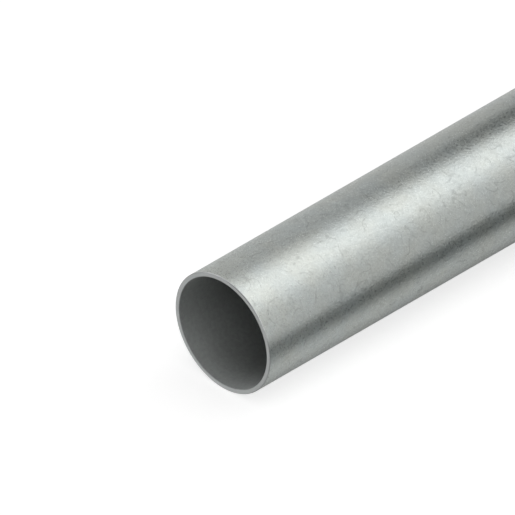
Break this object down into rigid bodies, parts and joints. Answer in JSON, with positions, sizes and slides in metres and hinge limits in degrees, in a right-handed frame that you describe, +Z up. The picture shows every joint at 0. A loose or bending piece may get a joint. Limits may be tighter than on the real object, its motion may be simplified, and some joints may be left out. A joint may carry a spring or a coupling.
{
  "type": "cable protection tube",
  "caption": "Plain round galvanised steel conduit tube with square-cut open ends, through which electrical cables are drawn.",
  "frame": {"origin": "on the floor line under the middle of the tube's length", "axes": "+X along the tube's axis, away from the mouth that the picture shows; +Z up from the floor that it lies on"},
  "size_m": [3, 0.032, 0.032],
  "materials": {
    "galvanised_steel": "zinc-coated welded steel, satin, with a faint fine mottle"
  },
  "bodies": {
    "root": {"tube": "galvanised_steel"}
  },
  "joints": []
}
